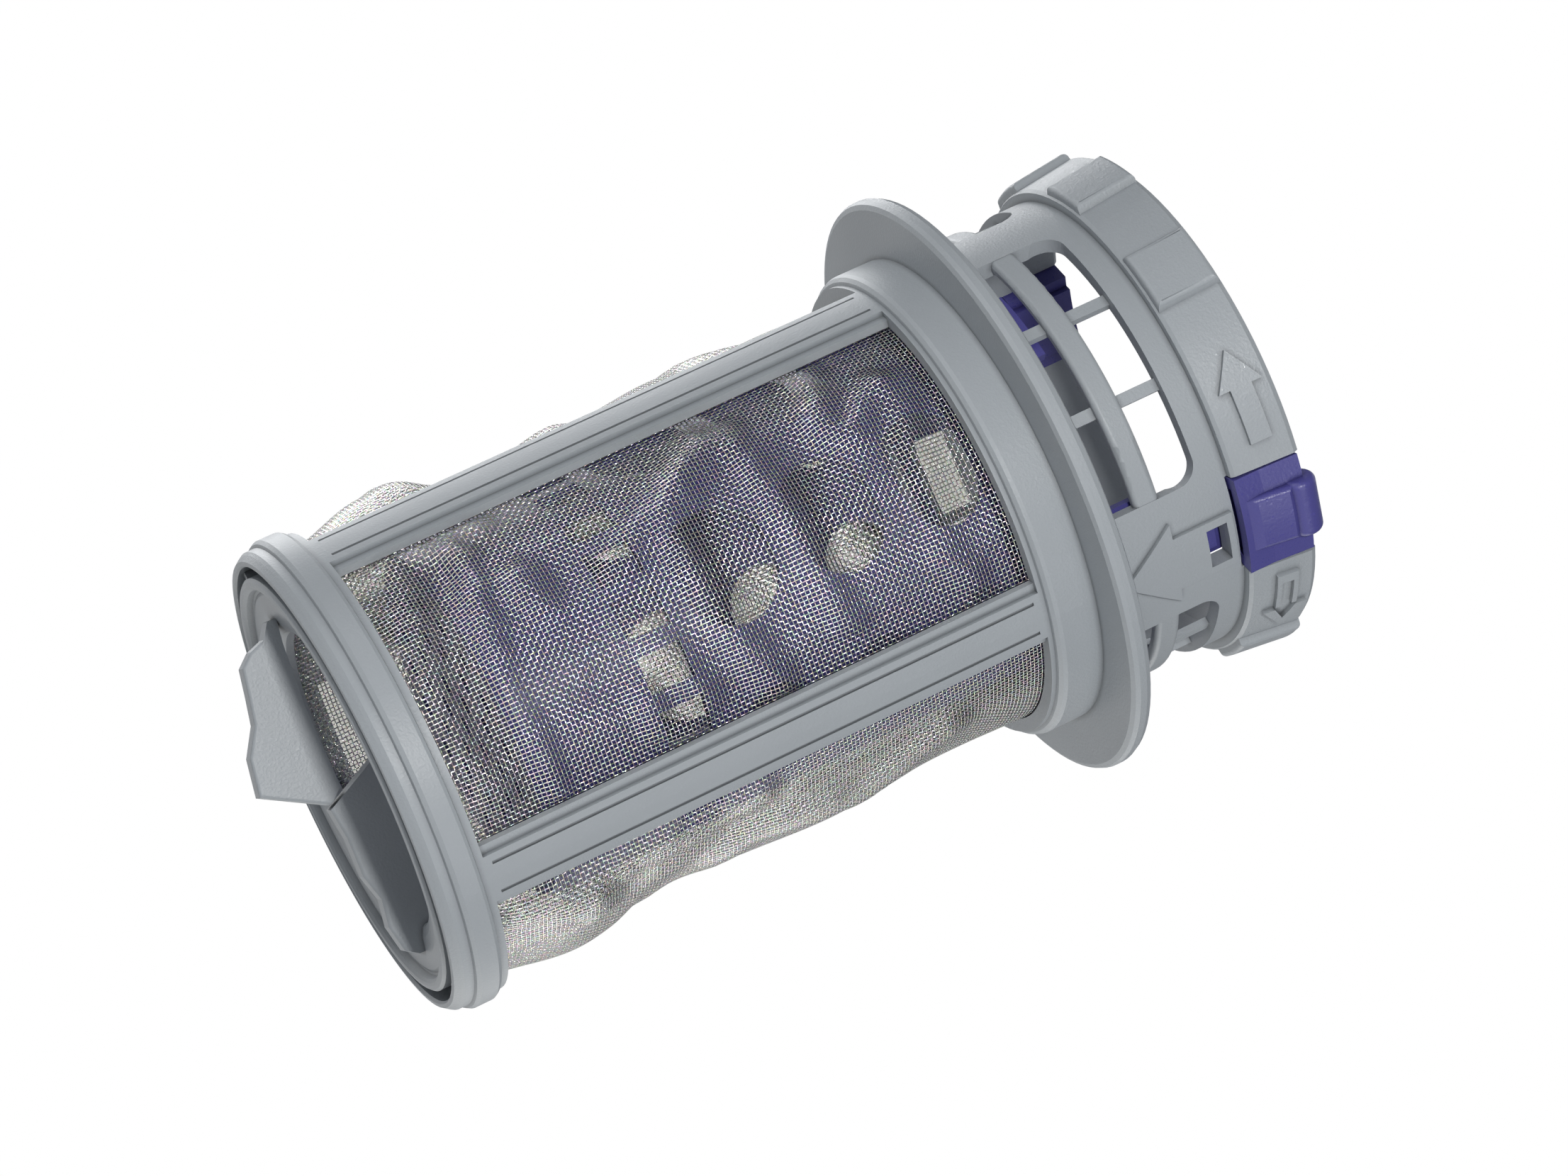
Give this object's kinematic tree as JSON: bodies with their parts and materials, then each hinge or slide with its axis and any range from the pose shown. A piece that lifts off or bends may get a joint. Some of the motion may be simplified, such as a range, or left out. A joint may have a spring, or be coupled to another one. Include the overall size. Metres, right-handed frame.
{
  "type": "dishwasher filter",
  "caption": "Cylindrical dishwasher sump filter with a fine mesh sleeve, seating flange, grip ring and a lift-out coarse strainer released by two finger tabs.",
  "frame": {"origin": "on the filter's axis in the plane of the flange's underside, where it seats in the sump", "axes": "+Z along the axis from the lower end up to the grip ring, +X through the middle of one release tab"},
  "size_m": [0.088, 0.088, 0.1465],
  "materials": {
    "grey_plastic": "satin",
    "steel_weave": "woven",
    "purple_plastic": "satin"
  },
  "bodies": {
    "housing": {"filter_body": "grey_plastic", "steel_mesh": "steel_weave"},
    "strainer": {"coarse_filter": "purple_plastic"},
    "tab_a": {"release_tab_a": "purple_plastic"},
    "tab_b": {"release_tab_b": "purple_plastic"}
  },
  "joints": [
    {"name": "strainer_lift", "type": "slide", "parent": "housing", "child": "strainer", "axis": [0, 0, 1], "range_m": [0, 0.12]},
    {"name": "tab_a_press", "type": "hinge", "parent": "strainer", "child": "tab_a", "pos_m": [0.0306, 0, 0.0121], "axis": [0, -1, 0], "range_deg": [0, 3.5], "stiffness_Nm_per_rad": 0.6},
    {"name": "tab_b_press", "type": "hinge", "parent": "strainer", "child": "tab_b", "pos_m": [-0.0306, 0, 0.0121], "axis": [0, 1, 0], "range_deg": [0, 3.5], "stiffness_Nm_per_rad": 0.6}
  ]
}
